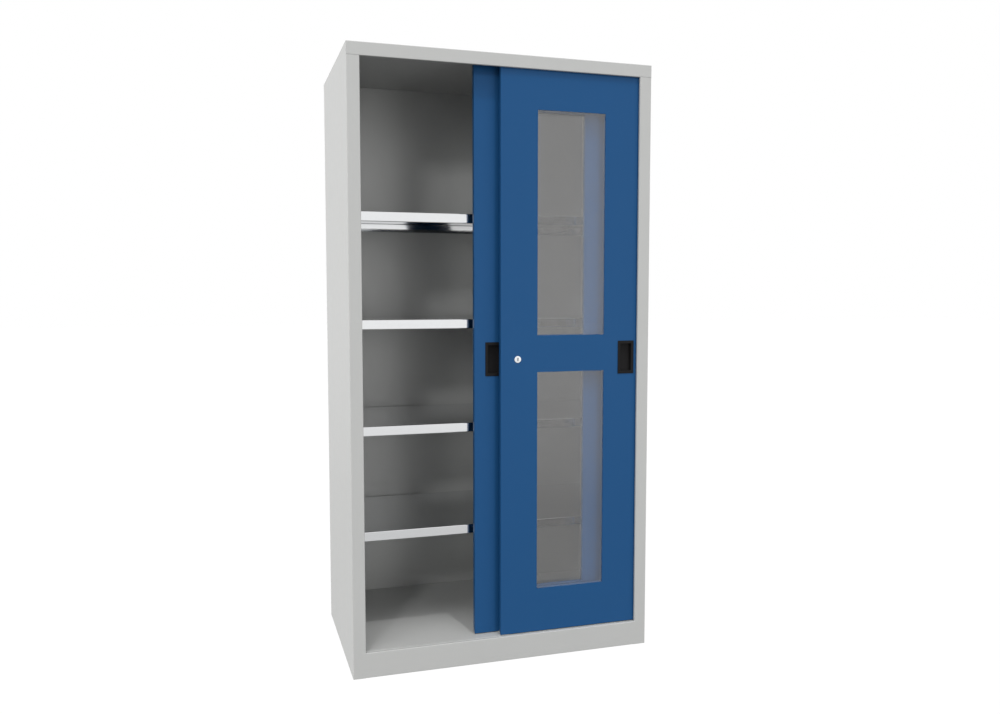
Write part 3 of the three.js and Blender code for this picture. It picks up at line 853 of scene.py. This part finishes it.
class CABINET_OT_lock(bpy.types.Operator):
    """Key lock: chromed rosette, turning plug with a keyway, cam and keeper"""

    bl_idname = "cabinet.lock"
    bl_label = "Lock"

    def execute(self, context):
        self.housing()
        self.plug()
        bodies = {
            "lock_nut": "front_door",
            "lock_cam": "lock_barrel",
            "lock_cam_screw": "lock_barrel",
            "lock_keeper": "rear_door",
        }
        for node, body in bodies.items():
            softened_copy(node, "_plated", body, "Zinc plated steel", STEEL_EDGE)
        return {"FINISHED"}

    def axis(self):
        """Where the lock's axis crosses the door's face, as x and z."""
        low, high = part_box("lock_housing")
        return (low[0] + high[0]) / 2, (low[2] + high[2]) / 2

    def housing(self):
        """The rosette on the door's face and the barrel behind it, round the plug's bore."""
        low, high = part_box("lock_housing")
        radius = (high[0] - low[0]) / 2
        face = low[1]
        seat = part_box("front_door_shell")[0][1] - SEAT
        profile = [
            (LOCK_BORE, face + ROSETTE_CHAMFER),
            (LOCK_BORE + ROSETTE_CHAMFER, face),
            (radius - ROSETTE_BORDER, face),
            (radius - ROSETTE_CHAMFER, face + ROSETTE_CHAMFER),
            (radius, face + ROSETTE_SLOPE),
            (radius, seat),
            (LOCK_BARREL, seat),
            (LOCK_BARREL, high[1]),
            (LOCK_BORE, high[1]),
            (LOCK_BORE, face + ROSETTE_CHAMFER),
        ]
        housing = turned(profile, *self.axis(), LOCK_STEPS)
        settle(housing, "lock_housing_plated", "front_door", "Bright chrome", "lock_housing")

    def plug(self):
        """The plug with its shank, and a keyway with painted shade: its inside faces get the black
        rubber.
        """
        low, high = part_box("lock_plug")
        x, z = self.axis()
        radius = (high[0] - low[0]) / 2
        tip = low[1]
        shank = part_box("lock_housing")[1][1]
        profile = [
            (0, tip),
            (radius - PLUG_CHAMFER, tip),
            (radius, tip + PLUG_CHAMFER),
            (radius, shank),
            (PLUG_SHANK, shank),
            (PLUG_SHANK, high[1]),
            (0, high[1]),
        ]
        plug = turned(profile, x, z, LOCK_STEPS)
        self.cut_keyway(plug, x, z, tip)
        settle(plug, "lock_plug_plated", "lock_barrel", "Bright chrome", "lock_plug")
        self.paint_keyway_shade(plug, x, z, tip)

    def cut_keyway(self, plug, x, z, tip):
        keyway = slab(
            (x - KEYWAY_HALF_WIDTH, tip - KEYWAY_OVERRUN, z - KEYWAY_HALF_HEIGHT),
            (x + KEYWAY_HALF_WIDTH, tip + KEYWAY_DEPTH, z + KEYWAY_HALF_HEIGHT),
        )
        make_active(plug)
        cut = plug.modifiers.new("Keyway", "BOOLEAN")
        cut.operation = "DIFFERENCE"
        cut.solver = "EXACT"
        cut.object = keyway
        bpy.ops.object.modifier_apply(modifier=cut.name)
        bpy.data.objects.remove(keyway)

    def paint_keyway_shade(self, plug, x, z, tip):
        # Painted shade: the keyway's inside faces take the black rubber, though the plug is chrome
        # there too
        plug.data.materials.append(dressed()["Black rubber"])
        for face in plug.data.polygons:
            across = abs(face.center.x - x) < KEYWAY_HALF_WIDTH + KEYWAY_MARGIN
            up = abs(face.center.z - z) < KEYWAY_HALF_HEIGHT + KEYWAY_MARGIN
            depth = face.center.y - tip
            if across and up and KEYWAY_MARGIN < depth < KEYWAY_DEPTH + KEYWAY_MARGIN:
                face.material_index = 1


# Sizes of a grooved roller, and of the floor guide's rounded edges
ROLLER_STEPS = 40
ROLLER_BORE = 2.4 * MM
ROLLER_EDGE = 0.4 * MM
GROOVE_DEPTH = 2 * MM
GROOVE_HALF_WIDTH = 1.35 * MM
GUIDE_EDGE = 0.6 * MM


class CABINET_OT_running_gear(bpy.types.Operator):
    """Track, hangers, grooved rollers and floor guide"""

    bl_idname = "cabinet.running_gear"
    bl_label = "Running gear"

    def execute(self, context):
        paint_node("top_track", "Zinc plated steel")
        softened_copy("floor_guide", "_moulded", "cabinet", "White nylon", GUIDE_EDGE)
        for row in ROWS:
            door = row + "_door"
            for side in SIDES:
                hanger = f"{door}_hanger_{side}"
                softened_copy(hanger, "_plated", door, "Zinc plated steel", STEEL_EDGE)
                self.roller(f"{door}_roller_{side}", f"{row}_roller_{side}")
        return {"FINISHED"}

    def roller(self, node, body):
        """A roller with a groove that the track's edge runs in."""
        low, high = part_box(node)
        centre = (Vector(low) + Vector(high)) / 2
        radius = (high[2] - low[2]) / 2
        groove = radius - GROOVE_DEPTH
        near, far = centre.y - GROOVE_HALF_WIDTH, centre.y + GROOVE_HALF_WIDTH
        profile = [
            (ROLLER_BORE, low[1]),
            (radius - ROLLER_EDGE, low[1]),
            (radius, low[1] + ROLLER_EDGE),
            (radius, near - ROLLER_EDGE),
            (groove, near),
            (groove, far),
            (radius, far + ROLLER_EDGE),
            (radius, high[1] - ROLLER_EDGE),
            (radius - ROLLER_EDGE, high[1]),
            (ROLLER_BORE, high[1]),
            (ROLLER_BORE, low[1]),
        ]
        roller = turned(profile, centre.x, centre.z, ROLLER_STEPS)
        settle(roller, node + "_grooved", body, "White nylon", node)


BUFFER_EDGE = 0.8 * MM


class CABINET_OT_buffers(bpy.types.Operator):
    """Rubber buffers on the side walls"""

    bl_idname = "cabinet.buffers"
    bl_label = "Buffers"

    def execute(self, context):
        for side in SIDES:
            for row in ROWS:
                node = f"buffer_{side}_{row}"
                piece = copy_of(node, node + "_moulded")
                soften(piece, BUFFER_EDGE, steps=3)
                shade_smooth(piece, BUFFER_SMOOTH)
                settle(piece, node + "_moulded", "cabinet", "Black rubber", node)
        return {"FINISHED"}


# Distant lamps: name, where their light comes from, strength and width in degrees
SUNS = (
    ("Steep front light", (0.094, -0.524, 1.0), 0.53, 2.5),
    ("High left light", (-0.5, -0.7, 1.4), 0.80, 35.0),
    ("High right light", (0.6, -0.8, 1.3), 0.20, 35.0),
    ("Left side light", (-1.0, 0.12, 0.35), 1.33, 20.0),
)

# Near lamps, all aimed at the middle of the cabinet: name, place, size and watts
SOFT_BOXES = (
    ("Left corner light", (-3.97, -6.73, 4.48), (0.8, 0.8), 105),
    ("Right front light", (4.0, -5.5, 1.3), (2.4, 2.4), 6),
    ("Front light", (1.8, -6.0, 1.3), (1.4, 2.0), 40),
)
AIM = Vector((0, 0, 1.0))

# Width of the camera's sensor in millimetres
SENSOR_WIDTH = 36

# The floor's side in metres, and how far it lies under the cabinet
FLOOR_SIDE = 60
FLOOR_DROP = 0.5 * MM

# The white of the floor that the camera sees, and its share beside the floor's plain colour
FLOOR_WHITE = 1.1
FLOOR_WHITE_SHARE = 0.9

# The floor's white as metal and glass mirror it, with a painted shadow of the cabinet: far away,
# lost at one metre, and the least
MIRRORED_FAR = 1.12
MIRRORED_SHADOW_LOSS = 0.95
MIRRORED_SHADOW_LEAST = 0.73

# A clear view through both doors takes fewer steps than this
DEEP_PATH = 6.5


def add_lamp(name, lamp, towards):
    """Hangs a lamp that shines from the given direction, and that gloss doesn't show."""
    holder = bpy.data.objects.new(name, lamp)
    holder.rotation_euler = (-towards).to_track_quat("-Z", "Y").to_euler()
    holder.visible_glossy = False
    bpy.context.scene.collection.objects.link(holder)
    return holder


def sun_lamp(name, towards, strength, width):
    """A distant lamp, as wide in the sky as the angle in degrees."""
    lamp = bpy.data.lights.new(name, "SUN")
    lamp.energy = strength
    lamp.angle = math.radians(width)
    add_lamp(name, lamp, Vector(towards))


def soft_box(name, place, size, watts):
    """A soft rectangular lamp, which windows don't show either."""
    lamp = bpy.data.lights.new(name, "AREA")
    lamp.shape = "RECTANGLE"
    lamp.size, lamp.size_y = size
    lamp.energy = watts
    holder = add_lamp(name, lamp, Vector(place) - AIM)
    holder.location = place
    holder.visible_transmission = False


def math_node(nodes, links, operation, first, second, clamp=False):
    """A Math node on two outputs, or on an output and a number."""
    made = nodes.new("ShaderNodeMath")
    made.operation = operation
    made.use_clamp = clamp
    for socket, value in zip(made.inputs, (first, second)):
        if isinstance(value, float):
            socket.default_value = value
        else:
            links.new(value, socket)
    return made.outputs["Value"]


def studio_rays(nodes, links):
    """Two shares for the studio's whites. The first is one where the studio is seen straight,
    mirrored or through a window. The second is one where it is seen after a dull bounce, and
    both are nothing after more crossings of glass than a clear view has."""
    path = nodes.new("ShaderNodeLightPath").outputs
    seen = math_node(nodes, links, "MAXIMUM", path["Is Camera Ray"], path["Is Glossy Ray"])
    seen = math_node(nodes, links, "MAXIMUM", seen, path["Is Transmission Ray"])
    dull = math_node(nodes, links, "MINIMUM", path["Diffuse Depth"], 1.0)
    deep = math_node(nodes, links, "GREATER_THAN", path["Ray Depth"], DEEP_PATH)
    bare = math_node(nodes, links, "SUBTRACT", seen, dull, clamp=True)
    bare = math_node(nodes, links, "SUBTRACT", bare, deep, clamp=True)
    lost = math_node(nodes, links, "SUBTRACT", deep, dull, clamp=True)
    return bare, math_node(nodes, links, "SUBTRACT", 1.0, lost, clamp=True)


class CABINET_OT_studio(bpy.types.Operator):
    """Camera, pale floor and soft studio light"""

    bl_idname = "cabinet.studio"
    bl_label = "Studio"

    def execute(self, context):
        scene = context.scene
        studio = scene.cabinet_studio
        camera = bpy.data.objects.new("Camera", bpy.data.cameras.new("Camera"))
        camera.data.sensor_width = SENSOR_WIDTH
        camera.data.lens = studio.lens
        camera.location = studio.eye
        camera.rotation_euler = (studio.pitch, 0, studio.heading)
        scene.collection.objects.link(camera)
        scene.camera = camera
        scene.view_settings.view_transform = "Standard"
        self.add_world(scene, studio)
        self.add_floor(studio)
        for sun in SUNS:
            sun_lamp(*sun)
        for box in SOFT_BOXES:
            soft_box(*box)
        return {"FINISHED"}

    def add_world(self, scene, studio):
        world = bpy.data.worlds.new("Studio")
        world.use_nodes = True
        scene.world = world
        nodes, links = world.node_tree.nodes, world.node_tree.links
        background = next(n for n in nodes if n.type == "BACKGROUND")
        background.inputs["Color"].default_value = (1, 1, 1, 1)
        bare, kept = studio_rays(nodes, links)
        strength = nodes.new("ShaderNodeMapRange")
        strength.inputs["To Min"].default_value = studio.ambient
        strength.inputs["To Max"].default_value = 1.0
        links.new(bare, strength.inputs["Value"])
        total = math_node(nodes, links, "MULTIPLY", strength.outputs["Result"], kept)
        links.new(total, background.inputs["Strength"])

    def add_floor(self, studio):
        deselect()
        bpy.ops.mesh.primitive_plane_add(size=FLOOR_SIDE, location=(0, 0, -FLOOR_DROP))
        floor = bpy.context.object
        floor.name = "Studio_floor"
        floor.data.materials.append(self.floor_material(studio))

    def floor_material(self, studio):
        """Plain to a dull bounce, white to the camera, and white in mirrors and windows with a
        painted shadow close to the cabinet.
        """
        material = bpy.data.materials.new("Studio floor")
        material.use_nodes = True
        nodes, links = material.node_tree.nodes, material.node_tree.links
        nodes.clear()
        bare, kept = studio_rays(nodes, links)
        plain = nodes.new("ShaderNodeBsdfDiffuse")
        tint = nodes.new("ShaderNodeMix")
        tint.data_type = "RGBA"
        tint.inputs["A"].default_value = (0, 0, 0, 1)
        tint.inputs["B"].default_value = (*studio.floor, 1)
        links.new(kept, tint.inputs["Factor"])
        links.new(tint.outputs["Result"], plain.inputs["Color"])
        white = nodes.new("ShaderNodeEmission")
        path = nodes.new("ShaderNodeLightPath")
        strength = nodes.new("ShaderNodeMapRange")
        strength.inputs["To Max"].default_value = FLOOR_WHITE
        # In mirrors the floor's white carries a painted shadow of the cabinet
        links.new(self.mirrored_white_with_painted_shadow(nodes, links), strength.inputs["To Min"])
        links.new(path.outputs["Is Camera Ray"], strength.inputs["Value"])
        links.new(strength.outputs["Result"], white.inputs["Strength"])
        share = math_node(nodes, links, "MULTIPLY", bare, FLOOR_WHITE_SHARE)
        mixed = nodes.new("ShaderNodeMixShader")
        links.new(share, mixed.inputs["Fac"])
        links.new(plain.outputs["BSDF"], mixed.inputs[1])
        links.new(white.outputs["Emission"], mixed.inputs[2])
        output = nodes.new("ShaderNodeOutputMaterial")
        links.new(mixed.outputs["Shader"], output.inputs["Surface"])
        return material

    def mirrored_white_with_painted_shadow(self, nodes, links):
        """White of the floor as metal and glass mirror it, with a painted shadow: less of it close
        to the cabinet.
        """
        place = nodes.new("ShaderNodeTexCoord")
        distance = nodes.new("ShaderNodeVectorMath")
        distance.operation = "LENGTH"
        links.new(place.outputs["Object"], distance.inputs[0])
        painted_shadow = math_node(nodes, links, "DIVIDE", MIRRORED_SHADOW_LOSS, distance.outputs["Value"])
        white = math_node(nodes, links, "SUBTRACT", MIRRORED_FAR, painted_shadow)
        return math_node(nodes, links, "MAXIMUM", white, MIRRORED_SHADOW_LEAST)


class CABINET_PT_sidebar(bpy.types.Panel):
    """Lists the cabinet's settings and building steps"""

    bl_idname = "CABINET_PT_sidebar"
    bl_label = "Cabinet"
    bl_space_type = "VIEW_3D"
    bl_region_type = "UI"
    bl_category = "Cabinet"

    def draw(self, context):
        for name, settings in SETTINGS.items():
            box = self.layout.box()
            for key in settings.__annotations__:
                box.prop(getattr(context.scene, name), key)
        for step in STEPS:
            self.layout.operator(step.bl_idname)


SETTINGS = {
    "cabinet_paint": PaintSettings,
    "cabinet_sheet": SheetSettings,
    "cabinet_pulls": PullSettings,
    "cabinet_rivets": RivetSettings,
    "cabinet_studio": StudioSettings,
}
STEPS = (
    CABINET_OT_studio,
    CABINET_OT_carcass,
    CABINET_OT_rivets,
    CABINET_OT_shelves,
    CABINET_OT_doors,
    CABINET_OT_pulls,
    CABINET_OT_lock,
    CABINET_OT_running_gear,
    CABINET_OT_buffers,
)


def register():
    for name, settings in SETTINGS.items():
        bpy.utils.register_class(settings)
        setattr(bpy.types.Scene, name, bpy.props.PointerProperty(type=settings))
    for step in STEPS:
        bpy.utils.register_class(step)
    bpy.utils.register_class(CABINET_PT_sidebar)


def unregister():
    bpy.utils.unregister_class(CABINET_PT_sidebar)
    for step in reversed(STEPS):
        bpy.utils.unregister_class(step)
    for name, settings in SETTINGS.items():
        delattr(bpy.types.Scene, name)
        bpy.utils.unregister_class(settings)


def main():
    register()
    bpy.ops.cabinet.studio()
    bpy.ops.cabinet.carcass()
    bpy.ops.cabinet.rivets()
    bpy.ops.cabinet.shelves()
    bpy.ops.cabinet.doors()
    bpy.ops.cabinet.pulls()
    bpy.ops.cabinet.lock()
    bpy.ops.cabinet.running_gear()
    bpy.ops.cabinet.buffers()


if __name__ == "__main__":
    main()
